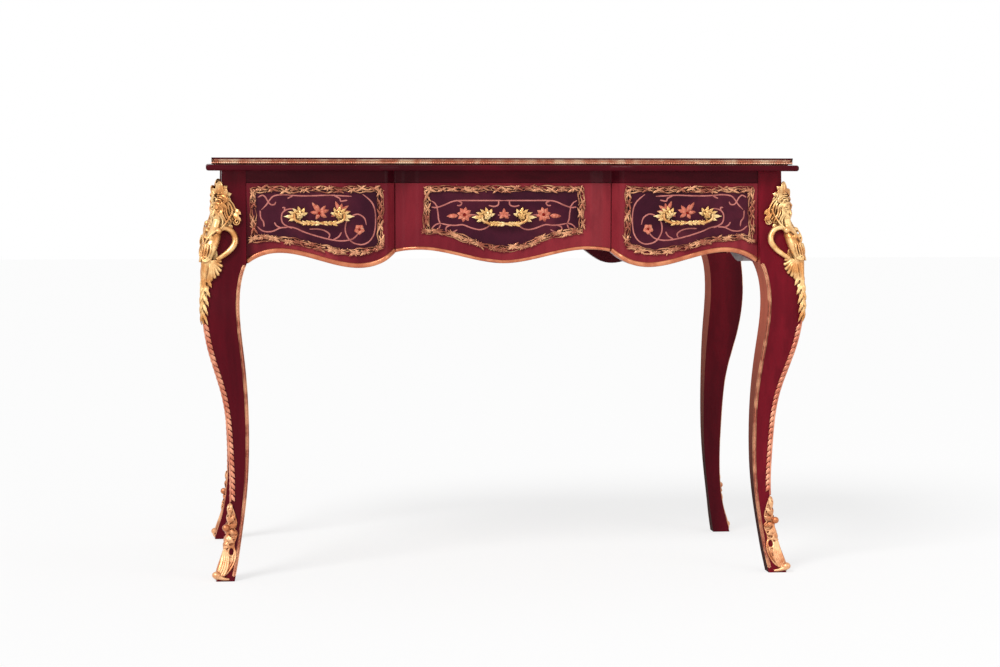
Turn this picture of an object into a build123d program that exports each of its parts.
from build123d import *
from math import atan2, tan
import os

os.makedirs("parts", exist_ok=True)

# A Louis XV style writing desk with three drawers, on cabriole legs. Millimetres.
# X runs to the right, Y to the back and Z up. The origin is on the floor under the
# middle of the desk, and the drawers face -Y. What is called a depth is measured
# downwards from the upper surface of the top.

# ------------------------------------------------------------------ driving dimensions
desk_height = 780.0
top_width = 1100.0
top_depth = 600.0
top_overhang = 28.5  # of the base moulding beyond the stiles, on all sides

# fits
joint_gap = 0.2  # round tenons, tongues, housed ends and inlays
running_gap = 0.8  # round each drawer front
slide_gap = 0.3  # drawer sides above their runners and below their kickers
mount_gap = 0.3  # between curved metal mounts and the wood
pivot_gap = 0.06  # radial, bail pins in their eyes

# top
board_thickness = 24.0
base_mould_width = 18.0
base_mould_height = 11.0
base_mould_nose = 4.5
gilt_edge_width = 9.0
gilt_edge_height = 12.0
gilt_edge_round = 2.0
top_recess = 17.0  # of the front edge over the centre drawer
top_shoulder_in = 32.0  # where the edge leaves its front line, outboard of the split
top_shoulder_out = -6.0  # where it reaches the recess
top_convex_radius = 44.0
top_concave_radius = 26.0
top_corner_radius = 6.0
leather_border = 78.0
leather_thickness = 2.0

# carcass
stile_width = 44.0
centre_drawer_width = 405.0  # between the middles of the dividers
divider_thickness = 20.0
divider_tongue = 8.0
divider_tongue_thickness = 10.0
panel_thickness = 22.0
panel_setback = 2.0  # of the panels behind the outer faces of the stiles
rail_height = 22.0
rail_width = 48.0
rail_setback = 2.0
tenon_thickness = 10.0
tenon_length = 20.0
tenon_shoulder = 10.0  # above a panel's tenon
tenon_height = 131.0
rail_tenon_height = 14.0

# serpentine front: the centre drawer lies behind the faces of the side drawers
centre_recess = 20.0  # at its ends
centre_bow = 9.0  # by which its middle comes forward again
roll_width = 17.0  # over which the side drawers roll back
ogee_start = 16.0  # from the split to the foot of the centre drawer's ogee
ogee_width = 24.0
roll_radius = 13.0
hollow_radius = 5.0
ogee_radius = 22.0

# lower edges: depth at each place along the edge
apron_end_depth = 195.7
side_crest = (66.0, 175.0)  # distance from the leg, depth
side_lobe = (68.0, 203.0)  # distance from the split, depth
split_depth = 175.0
centre_crest = (60.0, 170.7)  # distance from the split, depth
centre_lobe_depth = 195.5
back_lobe = (61.0, 213.0)
end_panel_lobe_depth = 203.0
side_trim_height = 9.0
centre_trim_height = 6.0
trim_thickness = 2.5

# cabriole curve: reach outboard of the drawer opening, at a depth above the ankle and,
# below it, at a share of the knee's height above the floor
knee_depth = 265.0
outer_upper = [(50.0, 100.0), (71.0, 200.0), (79.0, knee_depth), (65.0, 365.0)]
outer_lower = [(44.0, 0.666), (32.5, 0.466), (31.0, 0.262), (42.0, 0.105), (58.0, 0.0)]
inner_upper = [(12.8, knee_depth), (4.6, 365.0)]
inner_lower = [(-1.8, 0.666), (-4.0, 0.466), (2.7, 0.262), (14.0, 0.105), (24.0, 0.0)]
outer_foot_slope = 0.27
inner_knee_slope = 0.45
inner_foot_slope = 0.2

# drawer boxes
box_top_depth = 56.0
box_bottom_depth = 160.0
box_rear_gap = 31.5  # between the drawer boxes and the back panel
box_side_thickness = 11.0
box_side_gap = 1.8  # beside each drawer box
box_housing = 10.0  # of the sides in the front
box_back_thickness = 10.0
box_back_housing = 5.0
bottom_thickness = 6.0
bottom_raise = 8.0
bottom_groove = 5.0
runner_height = 10.0
runner_width = 17.5
guide_height = 12.0
kicker_height = 9.6
stop_size = 20.0
stop_spread = 60.0

# gilt frames and marquetry: lower edges as (distance from the leg or the split, depth),
# and the centre one as (x, depth)
frame_width = 14.0
frame_thickness = 2.0
frame_reed_margin = 4.0
frame_reed_width = 5.5
frame_reed_height = 2.0
side_frame_top_depth = 51.0
side_frame_low_by_leg = [(6.0, 160.0), (100.0, 163.0)]
side_frame_low_by_split = [(53.0, 178.0), (21.0, 165.0)]
centre_frame_top_depth = 50.0
centre_frame_low = [(152.0, 144.0), (95.0, 150.0), (0.0, 176.0)]
end_frame_margin = 12.0
end_frame_low_depths = (160.0, 162.0, 178.0)
marquetry_thickness = 1.0

# handles
side_handle_shift = 3.5  # from the middle of its drawer towards the leg
side_handle_depth = 106.0
centre_handle_depth = 108.0
side_handle_spacing = 72.0
centre_handle_spacing = 64.0
pivot_stand = 9.0  # from the drawer's face to the pivot's axis
pin_radius = 1.65
eye_radius = 5.5
eye_wall = 3.5
leaf_length = 42.0
leaf_height = 19.0
leaf_offset = 6.0
leaf_thickness = 3.0
stem_radius = 2.5
stem_end = 2.0  # beyond the nut
nut_thickness = 3.5
nut_corner_radius = 4.6
bail_radius = 2.6
bail_arm = 9.5  # from the eye's middle to the bail's arm
bail_arm_drop = 8.0
bail_drop = 14.0
bail_shoulder = 14.0
bail_bend_radius = 6.0

# corner mounts: bust over a scroll and a shell, drawn as (reach, depth) on both faces
bust_sections = [(45.0, 4.0), (62.0, 10.0), (84.0, 14.5), (106.0, 9.0), (120.0, 13.0)]
bust_sections += [(157.0, 17.5), (187.0, 17.0), (235.0, 10.5), (265.0, 7.5), (283.0, 7.0), (300.0, 6.0)]
bust_plate_inner = [(46.0, 41.0), (30.8, 62.0), (14.0, 102.0), (11.0, 121.0), (21.0, 151.0)]
bust_plate_inner += [(24.0, 166.0), (47.0, 186.0), (51.8, 206.0), (64.5, 231.0), (74.0, 300.0)]
bust_plate_thickness = 3.0
bust_hole = (38.0, 151.0)
bust_hole_size = (9.0, 16.0)

# other leg mounts
chute_width = 10.0
chute_thickness = 3.0
chute_end_height = 141.0
strip_width = 7.0
strip_thickness = 2.0
strip_end_height = 62.0
sabot_outer = [(33.0, 139.0), (38.5, 90.0), (45.5, 54.0), (54.0, 30.0), (61.0, 16.0)]
sabot_outer += [(68.0, 6.0), (65.0, 0.0)]
sabot_inner = [(30.0, 139.0), (25.0, 100.0), (27.0, 62.0), (23.0, 52.0), (26.0, 0.0)]
sabot_knob = (37.0, 97.0)
sabot_knob_radius = 6.5

# fixings
button_length = 30.0
button_width = 28.0
button_height = 21.0
button_groove_height = 6.0
button_groove_depth = 8.0
button_tongue_end_gap = 1.0
button_groove_top = 34.0
button_groove_stop = 25.0  # short of a panel's ends
screw_radius = 2.0
screw_head_radius = 4.0
screw_head_height = 2.5
screw_bite = 12.0
side_button_spread = 110.0
back_button_spread = 350.0
rail_screw_spread = 330.0

# ------------------------------------------------------------------ derived places
body_x = top_width / 2 - top_overhang
body_y = top_depth / 2 - top_overhang
inner_x = body_x - stile_width
inner_y = body_y - stile_width
split_x = centre_drawer_width / 2
side_handle_x = (inner_x + split_x) / 2 + side_handle_shift
leg_top = desk_height - board_thickness
rail_bottom = leg_top - rail_height
rail_back_y = -body_y + rail_width
front_back_y = -inner_y
divider_side = divider_thickness / 2
end_panel_outer_x = body_x - panel_setback
end_panel_inner_x = end_panel_outer_x - panel_thickness
back_panel_outer_y = body_y - panel_setback
back_panel_inner_y = back_panel_outer_y - panel_thickness
box_rear_y = back_panel_inner_y - box_rear_gap
centre_face_setback = centre_recess - centre_bow
reach_out = top_width + top_depth  # longer than anything that is cut
largest_round = 0.45  # of a wall, for the radius of its rounded edge
least_radius = 1.0  # of a corner in the plan of the top


def below(depth):
    """Height above the floor of a place at this depth below the top."""
    return desk_height - depth


def save(part, name):
    """Label a finished piece and write it to its file."""
    part.label = name
    export_step(part, f"parts/{name}.step")


def block(x_span, y_span, z_span, mode=Mode.ADD):
    """A box between the given limits, in the part that is being built."""
    middle = tuple(sum(span) / 2 for span in (x_span, y_span, z_span))
    with Locations(middle):
        Box(*(max(span) - min(span) for span in (x_span, y_span, z_span)), mode=mode)


def rod(radius, start, end, mode=Mode.ADD):
    """A round bar from one point to another, in the part that is being built."""
    axis = Vector(end) - Vector(start)
    with BuildSketch(Plane(origin=start, z_dir=axis)) as end_face:
        Circle(radius)
    extrude(end_face.sketch, amount=axis.length, mode=mode)


def corner_copy(part, side, end):
    """The front right piece, mirrored to another corner: side -1 is left, end 1 is back."""
    with BuildPart() as copy:
        add(part)
        if side < 0:
            mirror(about=Plane.YZ, mode=Mode.REPLACE)
        if end > 0:
            mirror(about=Plane.XZ, mode=Mode.REPLACE)
    return copy.part


def four_corners(part):
    """One group of the front right piece and its three mirrored copies."""
    with BuildPart() as group:
        for side in (-1, 1):
            for end in (-1, 1):
                add(corner_copy(part, side, end))
    return group.part


# ------------------------------------------------------------------ outlines
def top_outline(inset):
    """Plan of the top, moved inwards by the same distance all round."""
    half_x = top_width / 2 - inset
    half_y = top_depth / 2 - inset
    slope = atan2(top_recess, top_shoulder_in - top_shoulder_out)
    shift = split_x + inset * tan(slope / 2)
    corner = max(top_corner_radius - inset, least_radius)
    convex = max(top_convex_radius - inset, least_radius)
    right = [
        (half_x, half_y),
        (half_x, -half_y),
        (shift + top_shoulder_in, -half_y),
        (shift + top_shoulder_out, top_recess - half_y),
    ]
    left = [(-x, y) for x, y in reversed(right)]
    radii = [corner, corner, convex, top_concave_radius + inset]
    with BuildSketch() as outline:
        with BuildLine():
            FilletPolyline(*right, *left, radius=radii + radii[::-1], close=True)
        make_face()
    return outline.sketch


def front_strip(x_span, back_y, proud=0.0):
    """Plan of the serpentine front between two places, from its face to a straight back."""
    right = [
        (body_x, 0.0),
        (split_x + roll_width, 0.0),
        (split_x, -centre_recess),
        (split_x - ogee_start, -centre_recess),
        (split_x - ogee_start - ogee_width, -centre_face_setback),
    ]
    left = [(-x, y) for x, y in reversed(right)]
    radii = [roll_radius, hollow_radius, ogee_radius, ogee_radius]
    face = [(x, -body_y - y - proud) for x, y in right + left]
    with BuildSketch() as strip:
        with BuildLine():
            line = FilletPolyline(*face, radius=radii + radii[::-1])
            Polyline(line @ 1, (-body_x, back_y), (body_x, back_y), line @ 0)
        make_face()
        with Locations((sum(x_span) / 2, back_y)):
            Rectangle(max(x_span) - min(x_span), top_depth, mode=Mode.INTERSECT)
    return strip.sketch


def apron_points(side):
    """Lower edge of a drawer front, as (x, z) from left to right."""
    if side == 0:
        crest_x, crest_depth = split_x - centre_crest[0], centre_crest[1]
        half = [(split_x, split_depth), (crest_x, crest_depth)]
        whole = [(-x, d) for x, d in half] + [(0.0, centre_lobe_depth)] + half[::-1]
    else:
        whole = [
            (side * inner_x, apron_end_depth),
            (side * (inner_x - side_crest[0]), side_crest[1]),
            (side * (split_x + side_lobe[0]), side_lobe[1]),
            (side * split_x, split_depth),
        ][::-side]
    return [(x, below(depth)) for x, depth in whole]


def end_apron_points():
    """Lower edge of an end panel, as (y, z) from the front leg to the back leg."""
    crest_y = inner_y - side_crest[0]
    half = [(inner_y, apron_end_depth), (crest_y, side_crest[1])]
    whole = [(-y, d) for y, d in half] + [(0.0, end_panel_lobe_depth)] + half[::-1]
    return [(y, below(depth)) for y, depth in whole]


def back_apron_points():
    """Lower edge of the back panel, as (x, z) from left to right."""
    half = [
        (inner_x, apron_end_depth),
        (inner_x - side_crest[0], side_crest[1]),
        (split_x + back_lobe[0], back_lobe[1]),
        (split_x, split_depth),
        (split_x - centre_crest[0], centre_crest[1]),
    ]
    whole = [(-x, d) for x, d in half] + [(0.0, centre_lobe_depth)] + half[::-1]
    return [(x, below(depth)) for x, depth in whole]


def panel_face(low_points, top_z):
    """Elevation from a shaped lower edge up to a straight upper edge."""
    with BuildSketch() as face:
        with BuildLine():
            low = Spline(*low_points)
            right_top = ((low @ 1).X, top_z)
            left_top = ((low @ 0).X, top_z)
            Polyline(low @ 1, right_top, left_top, low @ 0)
        make_face()
    return face.sketch


def edge_band(low_points, height):
    """Elevation of a band of even height along a shaped lower edge."""
    with BuildSketch() as band:
        with BuildLine():
            low = Spline(*low_points)
            high = Spline(*[(x, z + height) for x, z in low_points])
            Line(low @ 1, high @ 1)
            Line(low @ 0, high @ 0)
        make_face()
    return band.sketch


def frame_limits(side):
    """Lower edge of a drawer's frame, as (x, z) from left to right, and its top's height."""
    if side == 0:
        low = [(-x, depth) for x, depth in centre_frame_low] + centre_frame_low[-2::-1]
        high = centre_frame_top_depth
    else:
        low = [(side * (inner_x - away), depth) for away, depth in side_frame_low_by_leg]
        low += [(side * (split_x + away), depth) for away, depth in side_frame_low_by_split]
        low = low[::-side]
        high = side_frame_top_depth
    return [(x, below(depth)) for x, depth in low], below(high)


def end_frame_limits():
    """Lower edge of an end panel's frame, as (y, z), and its top's height."""
    half = inner_y - end_frame_margin
    low_end, low_quarter, low_middle = end_frame_low_depths
    low = [(-half, low_end), (-half / 2, low_quarter), (0.0, low_middle)]
    low += [(half / 2, low_quarter), (half, low_end)]
    return [(y, below(depth)) for y, depth in low], below(side_frame_top_depth)


def frame_outline(limits, inset):
    """Elevation inside a frame's outer edge, moved inwards."""
    low_points, top_z = limits
    raised = [(x, z + inset) for x, z in low_points]
    low_x, high_x = low_points[0][0] + inset, low_points[-1][0] - inset
    face = panel_face(raised, top_z - inset)
    with BuildSketch() as outline:
        add(face)
        with Locations(((low_x + high_x) / 2, top_z)):
            Rectangle(high_x - low_x, desk_height, mode=Mode.INTERSECT)
    return outline.sketch


def frame_solid(limits, plane):
    """A cast frame with a raised reed, standing on a plane."""
    ring_out = frame_outline(limits, 0.0)
    ring_in = frame_outline(limits, frame_width)
    reed_out = frame_outline(limits, frame_reed_margin)
    reed_in = frame_outline(limits, frame_reed_margin + frame_reed_width)
    with BuildPart() as frame:
        with BuildSketch(plane):
            add(ring_out)
            add(ring_in, mode=Mode.SUBTRACT)
        extrude(amount=frame_thickness)
        with BuildSketch(plane.offset(frame_thickness)):
            add(reed_out)
            add(reed_in, mode=Mode.SUBTRACT)
        extrude(amount=frame_reed_height)
    return frame.part


def inlay_solid(limits, plane, inset):
    """Marquetry inlaid flush with a plane, out to the middle of its frame."""
    shape = frame_outline(limits, frame_width / 2 + inset)
    with BuildPart() as inlay:
        with BuildSketch(plane):
            add(shape)
        extrude(amount=-marquetry_thickness)
    return inlay.part


# ------------------------------------------------------------------ cabriole legs
def leg_points(first, upper, lower, grow, base, side):
    """One face of a leg in elevation, from the top to the floor."""
    points = [first]
    points += [(reach, below(depth)) for reach, depth in upper]
    points += [(reach, share * below(knee_depth)) for reach, share in lower]
    return [(side * (base + reach + grow), z) for reach, z in points]


def curve_points(outer, shift, base, side):
    """Points of a leg's outer or inner face, moved outboard."""
    if outer:
        first = (stile_width, leg_top)
        return leg_points(first, outer_upper, outer_lower, shift, base, side)
    first = (0.0, below(apron_end_depth))
    return leg_points(first, inner_upper, inner_lower, shift, base, side)


def curve_slopes(outer, side):
    """Directions of a leg's outer or inner face at its top and at the floor."""
    if outer:
        return [(0, -1), (side * outer_foot_slope, -1)]
    return [(side * inner_knee_slope, -1), (side * inner_foot_slope, -1)]


def leg_outline(base, side, grow):
    """Elevation of a leg outboard of its drawer opening, with its faces moved out."""
    with BuildSketch() as outline:
        with BuildLine():
            outer = Spline(*curve_points(True, grow, base, side), tangents=curve_slopes(True, side))
            inner = Spline(*curve_points(False, -grow, base, side), tangents=curve_slopes(False, side))
            Polyline(inner @ 0, ((inner @ 0).X, leg_top), outer @ 0)
            Line(outer @ 1, inner @ 1)
        make_face()
    return outline.sketch


def crossed(face_x, face_y):
    """What two elevations share, one seen from the front and one from the side."""
    with BuildPart() as form:
        with BuildSketch(Plane.XZ):
            add(face_x)
        extrude(amount=reach_out, both=True)
        with BuildSketch(Plane.YZ):
            add(face_y)
        extrude(amount=reach_out, both=True, mode=Mode.INTERSECT)
    return form.part


def leg_form(grow):
    """The front right leg, cut from both faces, with its faces moved out."""
    return crossed(leg_outline(inner_x, 1, grow), leg_outline(inner_y, -1, grow))


leg_blank = leg_form(0.0)
leg_clear = leg_form(mount_gap)

end_tenon_x = (end_panel_inner_x + end_panel_outer_x) / 2
back_tenon_y = (back_panel_inner_y + back_panel_outer_y) / 2
rail_tenon_y = -(inner_y + stile_width / 2)
tenon_top = leg_top - tenon_shoulder
rail_tenon_z = rail_bottom + rail_height / 2


def end_tenon(side, end, gap, mode):
    """Tenon of an end panel, or its mortise when it is grown by a gap."""
    half = tenon_thickness / 2 + gap
    x = side * end_tenon_x
    far = end * (inner_y + tenon_length + gap)
    z_span = (tenon_top - tenon_height - gap, tenon_top + gap)
    block((x - half, x + half), (end * inner_y, far), z_span, mode)


def back_tenon(side, gap, mode):
    """Tenon of the back panel, or its mortise when it is grown by a gap."""
    half = tenon_thickness / 2 + gap
    far = side * (inner_x + tenon_length + gap)
    z_span = (tenon_top - tenon_height - gap, tenon_top + gap)
    block((side * inner_x, far), (back_tenon_y - half, back_tenon_y + half), z_span, mode)


def rail_tenon(side, gap, mode):
    """Tenon of the front rail, or its mortise when it is grown by a gap."""
    half_y = tenon_thickness / 2 + gap
    half_z = rail_tenon_height / 2 + gap
    far = side * (inner_x + tenon_length + gap)
    y_span = (rail_tenon_y - half_y, rail_tenon_y + half_y)
    block((side * inner_x, far), y_span, (rail_tenon_z - half_z, rail_tenon_z + half_z), mode)


for side, side_name in ((-1, "left"), (1, "right")):
    for end, end_name in ((-1, "front"), (1, "back")):
        with BuildPart() as leg:
            add(corner_copy(leg_blank, side, end))
            end_tenon(side, end, joint_gap, Mode.SUBTRACT)
            if end < 0:
                rail_tenon(side, joint_gap, Mode.SUBTRACT)
            else:
                back_tenon(side, joint_gap, Mode.SUBTRACT)
        save(leg.part, f"leg_{end_name}_{side_name}")

# ------------------------------------------------------------------ carcass
groove_top = below(button_groove_top)
groove_span = (groove_top - button_groove_height, groove_top)
end_frame_plane = Plane.YZ.offset(end_panel_outer_x)
back_frame_plane = Plane.XZ.offset(back_panel_outer_y)
front_sides = (-1, 0, 1)

runner_top = below(box_bottom_depth) - slide_gap
divider_bottom = runner_top - runner_height

with BuildPart() as end_panel_right:
    with BuildSketch(Plane.YZ.offset(end_panel_inner_x)):
        add(panel_face(end_apron_points(), leg_top))
    extrude(amount=panel_thickness)
    for end in (-1, 1):
        end_tenon(1, end, 0.0, Mode.ADD)
    groove_depth_x = end_panel_inner_x + button_groove_depth
    groove_y = (button_groove_stop - inner_y, inner_y - button_groove_stop)
    block((end_panel_inner_x, groove_depth_x), groove_y, groove_span, Mode.SUBTRACT)
    add(inlay_solid(end_frame_limits(), end_frame_plane, -joint_gap), mode=Mode.SUBTRACT)

with BuildPart() as end_panel_left:
    add(end_panel_right.part)
    mirror(about=Plane.YZ, mode=Mode.REPLACE)

save(end_panel_left.part, "side_panel_left")
save(end_panel_right.part, "side_panel_right")


def divider_tongue_block(side, front, gap, mode):
    """Tongue of a divider in the rail or the back panel, or its housing."""
    half = divider_tongue_thickness / 2 + gap
    x = side * split_x
    if front:
        y_span = (rail_back_y - divider_tongue - gap, rail_back_y)
        z_span = (rail_tenon_z - rail_tenon_height / 2 - gap, rail_tenon_z + rail_tenon_height / 2 + gap)
    else:
        y_span = (back_panel_inner_y, back_panel_inner_y + divider_tongue + gap)
        z_span = (divider_bottom + tenon_shoulder - gap, tenon_top + gap)
    block((x - half, x + half), y_span, z_span, mode)


with BuildPart() as back_panel:
    with BuildSketch(Plane.XZ.offset(-back_panel_inner_y)):
        add(panel_face(back_apron_points(), leg_top))
    extrude(amount=-panel_thickness)
    for side in (-1, 1):
        back_tenon(side, 0.0, Mode.ADD)
        divider_tongue_block(side, False, joint_gap, Mode.SUBTRACT)
    groove_depth_y = back_panel_inner_y + button_groove_depth
    groove_x = (button_groove_stop - inner_x, inner_x - button_groove_stop)
    block(groove_x, (back_panel_inner_y, groove_depth_y), groove_span, Mode.SUBTRACT)
    for side in front_sides:
        inlay = inlay_solid(frame_limits(side), back_frame_plane, -joint_gap)
        add(corner_copy(inlay, 1, 1), mode=Mode.SUBTRACT)
save(back_panel.part, "back_panel")

with BuildPart() as front_rail:
    with BuildSketch(Plane.XY.offset(rail_bottom)):
        add(front_strip((-inner_x, inner_x), rail_back_y, -rail_setback))
    extrude(amount=rail_height)
    for side in (-1, 1):
        rail_tenon(side, 0.0, Mode.ADD)
        divider_tongue_block(side, True, joint_gap, Mode.SUBTRACT)
    with Locations(Plane((0, rail_tenon_y, rail_bottom), x_dir=(1, 0, 0), z_dir=(0, 0, -1))):
        with GridLocations(rail_screw_spread, 1, 3, 1):
            CounterBoreHole(
                screw_radius + joint_gap, screw_head_radius + joint_gap, screw_head_height
            )
save(front_rail.part, "front_rail")

for side, side_name in ((-1, "left"), (1, "right")):
    with BuildPart() as divider:
        x = side * split_x
        x_span = (x - divider_side, x + divider_side)
        block(x_span, (rail_back_y, back_panel_inner_y), (divider_bottom, leg_top))
        divider_tongue_block(side, True, 0.0, Mode.ADD)
        divider_tongue_block(side, False, 0.0, Mode.ADD)
    save(divider.part, f"drawer_divider_{side_name}")


# ------------------------------------------------------------------ what guides the drawers
def box_span(side):
    """Outer faces of a drawer box along X."""
    if side == 0:
        half = split_x - divider_side - box_side_gap
        return (-half, half)
    near = side * (split_x + divider_side + box_side_gap)
    far = side * (inner_x - box_side_gap)
    return (min(near, far), max(near, far))


end_strip_inner_x = inner_x - box_side_gap - box_side_thickness - joint_gap
end_strip_y = (-inner_y + joint_gap, inner_y - joint_gap)
divider_strip_y = (rail_back_y, back_panel_inner_y)
kicker_bottom = below(box_top_depth) + slide_gap
kicker_span = (kicker_bottom, kicker_bottom + kicker_height)
runner_span = (runner_top - runner_height, runner_top)

with BuildPart() as runners:
    guide_x = (inner_x - box_side_gap + slide_gap, end_panel_inner_x)
    for side in (-1, 1):
        end_x = (side * end_strip_inner_x, side * end_panel_inner_x)
        block(end_x, end_strip_y, runner_span)
        guide_span = (runner_top, runner_top + guide_height)
        block([side * x for x in guide_x], end_strip_y, guide_span)
        for face in (-1, 1):
            near = side * split_x + face * divider_side
            block((near, near + face * runner_width), divider_strip_y, runner_span)
save(runners.part, "drawer_runners")

with BuildPart() as kickers:
    for side in (-1, 1):
        block((side * end_strip_inner_x, side * end_panel_inner_x), end_strip_y, kicker_span)
        for face in (-1, 1):
            near = side * split_x + face * divider_side
            block((near, near + face * runner_width), divider_strip_y, kicker_span)
save(kickers.part, "drawer_kickers")

with BuildPart() as stops:
    stop_low = below(box_bottom_depth) + stop_size
    for side in front_sides:
        for hand in (-1, 1):
            x = sum(box_span(side)) / 2 + hand * stop_spread
            x_span = (x - stop_size / 2, x + stop_size / 2)
            y_span = (box_rear_y + slide_gap, back_panel_inner_y)
            block(x_span, y_span, (stop_low, stop_low + stop_size))
save(stops.part, "drawer_stops")

# ------------------------------------------------------------------ top
rail_screws = [(x, rail_tenon_y) for x in (-rail_screw_spread, 0.0, rail_screw_spread)]
end_button_places = [(side, hand * side_button_spread) for side in (-1, 1) for hand in (-1, 1)]
back_button_places = (-back_button_spread, 0.0, back_button_spread)
button_screws = [(side * (end_panel_inner_x - button_length / 2), y) for side, y in end_button_places]
button_screws += [(x, back_panel_inner_y - button_length / 2) for x in back_button_places]

with BuildPart() as top_board:
    with BuildSketch(Plane.XY.offset(leg_top)):
        add(top_outline(base_mould_width))
    extrude(amount=board_thickness)
    with BuildSketch(Plane.XY.offset(desk_height)):
        add(top_outline(leather_border))
    extrude(amount=-leather_thickness, mode=Mode.SUBTRACT)
    with BuildSketch(Plane.XY.offset(leg_top)):
        with Locations(*rail_screws, *button_screws):
            Circle(screw_radius + joint_gap / 2)
    extrude(amount=screw_bite + joint_gap, mode=Mode.SUBTRACT)
save(top_board.part, "top_board")

with BuildPart() as leather_top:
    with BuildSketch(Plane.XY.offset(desk_height - leather_thickness)):
        add(top_outline(leather_border + joint_gap))
    extrude(amount=leather_thickness)
save(leather_top.part, "leather_top")


def edge_ring(outer_inset, z_low, height):
    """A moulding round the board, in one piece."""
    with BuildPart() as ring:
        with BuildSketch(Plane.XY.offset(z_low)):
            add(top_outline(outer_inset))
            add(top_outline(base_mould_width), mode=Mode.SUBTRACT)
        extrude(amount=height)
    return ring.part


def ring_length(ring, corners):
    """The stretch of a moulding that lies between its two mitres."""
    with BuildPart() as length:
        with BuildSketch():
            with BuildLine():
                Polyline(*corners, close=True)
            make_face()
        extrude(amount=desk_height)
        add(ring, mode=Mode.INTERSECT)
    return length.part


def mitred(ring):
    """A moulding round the board, cut at its corners into four lengths."""
    half_x, half_y = top_width / 2, top_depth / 2
    inward = leather_border
    gap = joint_gap / 2
    long_side = [
        (half_x - gap, half_y),
        (half_x - inward - gap, half_y - inward),
        (inward + gap - half_x, half_y - inward),
        (gap - half_x, half_y),
    ]
    short_side = [
        (half_x, gap - half_y),
        (half_x, half_y - gap),
        (half_x - inward, half_y - inward - gap),
        (half_x - inward, inward + gap - half_y),
    ]
    lengths = [ring_length(ring, [(x, hand * y) for x, y in long_side]) for hand in (-1, 1)]
    lengths += [ring_length(ring, [(hand * x, y) for x, y in short_side]) for hand in (-1, 1)]
    with BuildPart() as group:
        for length in lengths:
            add(length)
    return group.part


with BuildPart() as base_ring:
    add(edge_ring(0.0, leg_top, base_mould_height))
    top_rim = base_ring.faces().sort_by(Axis.Z)[-1].outer_wire().edges()
    low_rim = base_ring.faces().sort_by(Axis.Z)[0].outer_wire().edges()
    fillet(top_rim + low_rim, radius=min(base_mould_nose, base_mould_height * largest_round))
save(mitred(base_ring.part), "top_moulding")

with BuildPart() as gilt_ring:
    gilt_low = desk_height - gilt_edge_height
    add(edge_ring(base_mould_width - gilt_edge_width, gilt_low, gilt_edge_height))
    upper_rim = gilt_ring.faces().sort_by(Axis.Z)[-1].outer_wire().edges()
    fillet(upper_rim, radius=min(gilt_edge_round, gilt_edge_width * largest_round))
save(mitred(gilt_ring.part), "top_gilt_edge")

button_low = leg_top - button_height
tongue_span = (groove_span[0] + joint_gap, groove_span[1] - joint_gap)
tongue_reach = button_groove_depth - button_tongue_end_gap

with BuildPart() as buttons:
    for side, y in end_button_places:
        y_span = (y - button_width / 2, y + button_width / 2)
        face = side * end_panel_inner_x
        block((face - side * button_length, face), y_span, (button_low, leg_top))
        block((face, face + side * tongue_reach), y_span, tongue_span)
    for x in back_button_places:
        x_span = (x - button_width / 2, x + button_width / 2)
        face = back_panel_inner_y
        block(x_span, (face - button_length, face), (button_low, leg_top))
        block(x_span, (face, face + tongue_reach), tongue_span)
    with BuildSketch(Plane.XY.offset(button_low)):
        with Locations(*button_screws):
            Circle(screw_radius + joint_gap)
    extrude(amount=button_height, mode=Mode.SUBTRACT)
    with BuildSketch(Plane.XY.offset(button_low)):
        with Locations(*button_screws):
            Circle(screw_head_radius + joint_gap)
    extrude(amount=screw_head_height, mode=Mode.SUBTRACT)
save(buttons.part, "top_buttons")

with BuildPart() as screws:
    for head_low, places in ((rail_bottom, rail_screws), (button_low, button_screws)):
        neck = head_low + screw_head_height
        for x, y in places:
            rod(screw_head_radius, (x, y, head_low), (x, y, neck))
            rod(screw_radius, (x, y, neck), (x, y, leg_top + screw_bite))
save(screws.part, "top_screws")

# ------------------------------------------------------------------ mounts of the carcass
def trim_solid(band, plane):
    """A trim standing on a plane, from its elevation."""
    with BuildPart() as trim:
        with BuildSketch(plane):
            add(band)
        extrude(amount=trim_thickness)
    return trim.part


end_trim = trim_solid(edge_band(end_apron_points(), side_trim_height), end_frame_plane)
back_trim = trim_solid(edge_band(back_apron_points(), side_trim_height), back_frame_plane)
with BuildPart() as carcass_trims:
    add(end_trim)
    add(corner_copy(end_trim, -1, -1))
    add(corner_copy(back_trim, 1, 1))
save(carcass_trims.part, "carcass_trims")

end_frame = frame_solid(end_frame_limits(), end_frame_plane)
end_inlay = inlay_solid(end_frame_limits(), end_frame_plane, 0.0)
with BuildPart() as carcass_frames:
    add(end_frame)
    add(corner_copy(end_frame, -1, -1))
    for side in front_sides:
        add(corner_copy(frame_solid(frame_limits(side), back_frame_plane), 1, 1))
save(carcass_frames.part, "carcass_frames")

with BuildPart() as carcass_marquetry:
    add(end_inlay)
    add(corner_copy(end_inlay, -1, -1))
    for side in front_sides:
        inlay = inlay_solid(frame_limits(side), back_frame_plane, 0.0)
        add(corner_copy(inlay, 1, 1))
save(carcass_marquetry.part, "carcass_marquetry")


# ------------------------------------------------------------------ mounts of the legs
def limit_face(inner_points, z_span, base, side, hole=None):
    """Elevation from a mount's inner edge outwards, without an opening in it."""
    points = [(side * (base + reach), z) for reach, z in inner_points]
    far = side * (base + reach_out)
    with BuildSketch() as face:
        with BuildLine():
            inner = Spline(*points)
            Polyline(inner @ 1, (far, z_span[0]), (far, z_span[1]), inner @ 0)
        make_face()
        if hole:
            with Locations((side * (base + hole[0]), hole[1])):
                Ellipse(hole[2] / 2, hole[3] / 2, mode=Mode.SUBTRACT)
    return face.sketch


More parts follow.
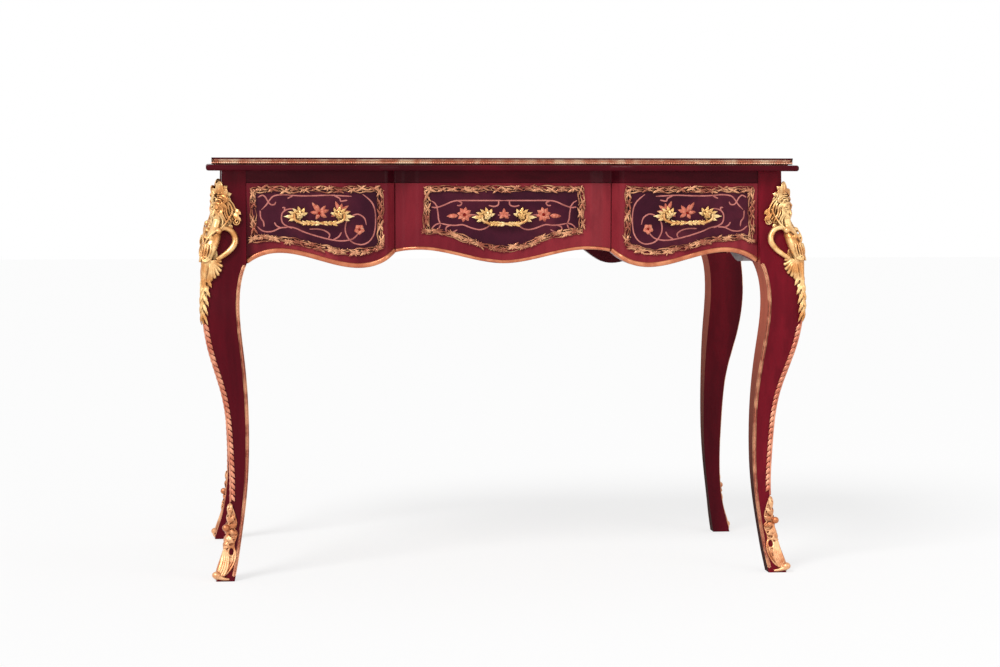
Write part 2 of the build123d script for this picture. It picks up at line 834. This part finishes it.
bust_inner = [(reach, below(depth)) for reach, depth in bust_plate_inner]
bust_span = (bust_inner[-1][1], bust_inner[0][1])
bust_opening = (bust_hole[0], below(bust_hole[1]), *bust_hole_size)


def outer_reach(z):
    """Reach of the leg's outer face at a height, read from the leg itself."""
    cut = section(leg_blank, section_by=Plane.XY.offset(z), mode=Mode.PRIVATE)
    return cut.bounding_box().max.X - inner_x


with BuildPart() as espagnolette:
    add(leg_form(mount_gap + bust_plate_thickness))
    face_x = limit_face(bust_inner, bust_span, inner_x, 1, bust_opening)
    face_y = limit_face(bust_inner, bust_span, inner_y, -1, bust_opening)
    add(crossed(face_x, face_y), mode=Mode.INTERSECT)
    for depth, radius in bust_sections:
        reach = outer_reach(below(depth))
        with BuildSketch(Plane.XY.offset(below(depth))):
            with Locations((inner_x + reach, -inner_y - reach)):
                Circle(radius)
    loft()
    add(leg_clear, mode=Mode.SUBTRACT)

for side, side_name in ((-1, "left"), (1, "right")):
    for end, end_name in ((-1, "front"), (1, "back")):
        mount = corner_copy(espagnolette.part, side, end)
        save(mount, f"espagnolette_{end_name}_{side_name}")


def leg_band(outer, shifts, z_span, base, side):
    """Elevation between two lines that follow one face of a leg, between two heights."""
    slopes = curve_slopes(outer, side)
    near_points, far_points = [curve_points(outer, shift, base, side) for shift in shifts]
    with BuildSketch() as band:
        with BuildLine():
            near = Spline(*near_points, tangents=slopes)
            far = Spline(*far_points, tangents=slopes)
            Line(near @ 0, far @ 0)
            Line(near @ 1, far @ 1)
        make_face()
        with Locations((side * base, sum(z_span) / 2)):
            Rectangle(reach_out, z_span[1] - z_span[0], mode=Mode.INTERSECT)
    return band.sketch


chute_span = (chute_end_height, bust_span[0] - mount_gap)
chute_shifts = (-chute_width, mount_gap + chute_thickness)
with BuildPart() as chute:
    face_x = leg_band(True, chute_shifts, chute_span, inner_x, 1)
    face_y = leg_band(True, chute_shifts, chute_span, inner_y, -1)
    add(crossed(face_x, face_y))
    add(leg_clear, mode=Mode.SUBTRACT)
save(four_corners(chute.part), "leg_chutes")

strip_span = (strip_end_height, below(apron_end_depth))
strip_shifts = (mount_gap, mount_gap + strip_thickness)
strip_front = crossed(
    leg_band(False, (0.0, strip_width), strip_span, inner_x, 1),
    leg_band(True, strip_shifts, strip_span, inner_y, -1),
)
strip_end = crossed(
    leg_band(True, strip_shifts, strip_span, inner_x, 1),
    leg_band(False, (0.0, strip_width), strip_span, inner_y, -1),
)
with BuildPart() as strips:
    add(four_corners(strip_front))
    add(four_corners(strip_end))
save(strips.part, "leg_arris_strips")


def sabot_face(base, side):
    """Elevation of a foot mount."""
    outer_points = [(side * (base + reach), z) for reach, z in sabot_outer]
    inner_points = [(side * (base + reach), z) for reach, z in sabot_inner]
    with BuildSketch() as face:
        with BuildLine():
            outer = Spline(*outer_points)
            inner = Spline(*inner_points)
            Line(outer @ 0, inner @ 0)
            Line(outer @ 1, inner @ 1)
        make_face()
    return face.sketch


with BuildPart() as sabot:
    add(crossed(sabot_face(inner_x, 1), sabot_face(inner_y, -1)))
    knob_x = inner_x + sabot_knob[0]
    with Locations((knob_x, -inner_y - sabot_knob[0], sabot_knob[1])):
        Sphere(sabot_knob_radius)
    add(leg_clear, mode=Mode.SUBTRACT)
save(four_corners(sabot.part), "sabots")


# ------------------------------------------------------------------ drawers
def drawer_face(side):
    """Distance of a drawer's flat face from the desk's middle."""
    return body_y - (0.0 if side else centre_face_setback)


def front_span(side):
    """Ends of a drawer front along X, inside its opening."""
    near = split_x + running_gap
    far = inner_x - running_gap
    if side == 0:
        return (running_gap - split_x, split_x - running_gap)
    return (min(side * near, side * far), max(side * near, side * far))


def handle_places(side):
    """Middles of a drawer's two handle mounts, as (x, z)."""
    middle = side * side_handle_x
    half = (side_handle_spacing if side else centre_handle_spacing) / 2
    depth = side_handle_depth if side else centre_handle_depth
    return [(middle + hand * half, below(depth)) for hand in (-1, 1)]


def stem_holes(side, radius):
    """Holes for the stems of a drawer's handle mounts, in the part that is being built."""
    for x, z in handle_places(side):
        rod(radius, (x, -body_y, z), (x, front_back_y, z), Mode.SUBTRACT)


def drawer_front(side):
    """Serpentine front, grooved for the bottom, with housings for the sides open at the top."""
    top_z = rail_bottom - running_gap
    plan = front_strip(front_span(side), front_back_y)
    elevation = panel_face(apron_points(side), top_z)
    pocket = inlay_solid(frame_limits(side), Plane.XZ.offset(drawer_face(side)), -joint_gap)
    low_x, high_x = box_span(side)
    side_z = (below(box_bottom_depth) - joint_gap, leg_top)
    housing_y = (front_back_y - box_housing - joint_gap, front_back_y)
    with BuildPart() as front:
        with BuildSketch():
            add(plan)
        extrude(amount=desk_height)
        with BuildSketch(Plane.XZ):
            add(elevation)
        extrude(amount=reach_out, mode=Mode.INTERSECT)
        add(pocket, mode=Mode.SUBTRACT)
        stem_holes(side, stem_radius + joint_gap)
        low_housing = (low_x - joint_gap, low_x + box_side_thickness + joint_gap)
        high_housing = (high_x - box_side_thickness - joint_gap, high_x + joint_gap)
        block(low_housing, housing_y, side_z, Mode.SUBTRACT)
        block(high_housing, housing_y, side_z, Mode.SUBTRACT)
        groove_low = below(box_bottom_depth) + bottom_raise - joint_gap
        groove_z = (groove_low, groove_low + bottom_thickness + joint_gap * 2)
        groove_y = (front_back_y - bottom_groove - joint_gap, front_back_y)
        block((low_x + box_side_thickness, high_x - box_side_thickness), groove_y, groove_z,
              Mode.SUBTRACT)
    return front.part


def drawer_trim(side):
    """Trim along the lower edge of a drawer front, following its serpentine face."""
    height = side_trim_height if side else centre_trim_height
    band = edge_band(apron_points(side), height)
    outer = front_strip(front_span(side), front_back_y, trim_thickness)
    inner = front_strip((-reach_out, reach_out), front_back_y)
    with BuildPart() as trim:
        with BuildSketch():
            add(outer)
            add(inner, mode=Mode.SUBTRACT)
        extrude(amount=desk_height)
        with BuildSketch(Plane.XZ):
            add(band)
        extrude(amount=reach_out, mode=Mode.INTERSECT)
    return trim.part


def drawer_inlay(side):
    """Marquetry panel of a drawer, bored for the handle stems."""
    with BuildPart() as inlay:
        add(inlay_solid(frame_limits(side), Plane.XZ.offset(drawer_face(side)), 0.0))
        stem_holes(side, stem_radius + joint_gap)
    return inlay.part


def drawer_sides(side):
    """Both sides of a drawer box, housed for the back and grooved for the bottom."""
    low_x, high_x = box_span(side)
    z_span = (below(box_bottom_depth), below(box_top_depth))
    y_span = (front_back_y - box_housing, box_rear_y)
    back_y = (box_rear_y - 2 * box_back_thickness - joint_gap, box_rear_y - box_back_thickness)
    groove_low = z_span[0] + bottom_raise - joint_gap
    groove_z = (groove_low, groove_low + bottom_thickness + 2 * joint_gap)
    with BuildPart() as sides:
        for face, inward in ((low_x, 1), (high_x, -1)):
            inner = face + inward * box_side_thickness
            block((face, inner), y_span, z_span)
            groove_x = (inner - inward * (bottom_groove + joint_gap), inner)
            block(groove_x, y_span, groove_z, Mode.SUBTRACT)
            housing_x = (inner - inward * (box_back_housing + joint_gap), inner)
            housing_z = (groove_z[1], z_span[1])
            block(housing_x, back_y, housing_z, Mode.SUBTRACT)
    return sides.part


def drawer_back(side):
    """Back of a drawer box, standing on the bottom between the sides."""
    low_x, high_x = box_span(side)
    inset = box_side_thickness - box_back_housing
    z_low = below(box_bottom_depth) + bottom_raise + bottom_thickness
    y_high = box_rear_y - box_back_thickness - joint_gap
    with BuildPart() as back:
        y_span = (y_high - box_back_thickness + joint_gap, y_high)
        block((low_x + inset, high_x - inset), y_span, (z_low, below(box_top_depth)))
    return back.part


def drawer_bottom(side):
    """Bottom of a drawer box, let into the front and the sides, under the back."""
    low_x, high_x = box_span(side)
    inset = box_side_thickness - bottom_groove
    z_low = below(box_bottom_depth) + bottom_raise
    with BuildPart() as bottom:
        x_span = (low_x + inset, high_x - inset)
        neck = (low_x + box_side_thickness + joint_gap, high_x - box_side_thickness - joint_gap)
        z_span = (z_low, z_low + bottom_thickness)
        block(x_span, (front_back_y + joint_gap, box_rear_y), z_span)
        block(neck, (front_back_y - bottom_groove, front_back_y + joint_gap), z_span)
    return bottom.part


def handle_mounts(side):
    """Two leaf plates with an eye for the bail and a threaded stem through the front."""
    face = drawer_face(side)
    middle = side * side_handle_x
    axis_y = -face - pivot_stand
    with BuildPart() as mounts:
        for x, z in handle_places(side):
            outward = 1 if x > middle else -1
            with BuildSketch(Plane.XZ.offset(face)):
                with Locations((x + outward * leaf_offset, z)):
                    Ellipse(leaf_length / 2, leaf_height / 2)
            extrude(amount=leaf_thickness)
            rod(eye_radius, (x, -face, z), (x, axis_y - eye_wall, z))
            rod(stem_radius, (x, -face, z), (x, front_back_y + nut_thickness + stem_end, z))
            across = eye_radius * 2
            rod(pin_radius + pivot_gap, (x - across, axis_y, z), (x + across, axis_y, z),
                Mode.SUBTRACT)
    return mounts.part


def handle_nuts(side):
    """Hexagon nuts on the stems, against the back of the drawer front."""
    with BuildPart() as nuts:
        with BuildSketch(Plane.XZ.offset(-front_back_y)):
            with Locations(*handle_places(side)):
                RegularPolygon(nut_corner_radius, 6)
                Circle(stem_radius + joint_gap / 4, mode=Mode.SUBTRACT)
        extrude(amount=-nut_thickness)
    return nuts.part


def bail(side):
    """Swinging handle with a pin at each end, hung in the eyes of its two mounts."""
    (left_x, z), (right_x, z) = handle_places(side)
    middle = (left_x + right_x) / 2
    eye = (right_x - left_x) / 2
    arm = eye + bail_arm
    axis_y = -drawer_face(side) - pivot_stand
    half = [(arm, bail_radius), (arm, -bail_arm_drop), (arm - bail_shoulder, -bail_drop)]
    points = half + [(-x, drop) for x, drop in reversed(half)]
    with BuildPart() as handle:
        with BuildLine(Plane((middle, axis_y, z), x_dir=(1, 0, 0), z_dir=(0, -1, 0))) as path:
            FilletPolyline(*points, radius=bail_bend_radius)
        with BuildSketch(Plane(origin=path.line @ 0, z_dir=path.line % 0)):
            Circle(bail_radius)
        sweep()
        for hand, x in ((-1, left_x), (1, right_x)):
            rod(pin_radius, (x - hand * eye_wall, axis_y, z), (x + hand * bail_arm, axis_y, z))
    return handle.part


for side, name in ((-1, "left"), (0, "centre"), (1, "right")):
    save(drawer_front(side), f"drawer_{name}_front")
    save(drawer_sides(side), f"drawer_{name}_sides")
    save(drawer_back(side), f"drawer_{name}_back")
    save(drawer_bottom(side), f"drawer_{name}_bottom")
    save(drawer_inlay(side), f"drawer_{name}_marquetry")
    frame_plane = Plane.XZ.offset(drawer_face(side))
    save(frame_solid(frame_limits(side), frame_plane), f"drawer_{name}_frame")
    save(drawer_trim(side), f"drawer_{name}_trim")
    save(handle_mounts(side), f"handle_{name}_mounts")
    save(handle_nuts(side), f"handle_{name}_nuts")
    save(bail(side), f"handle_{name}_bail")
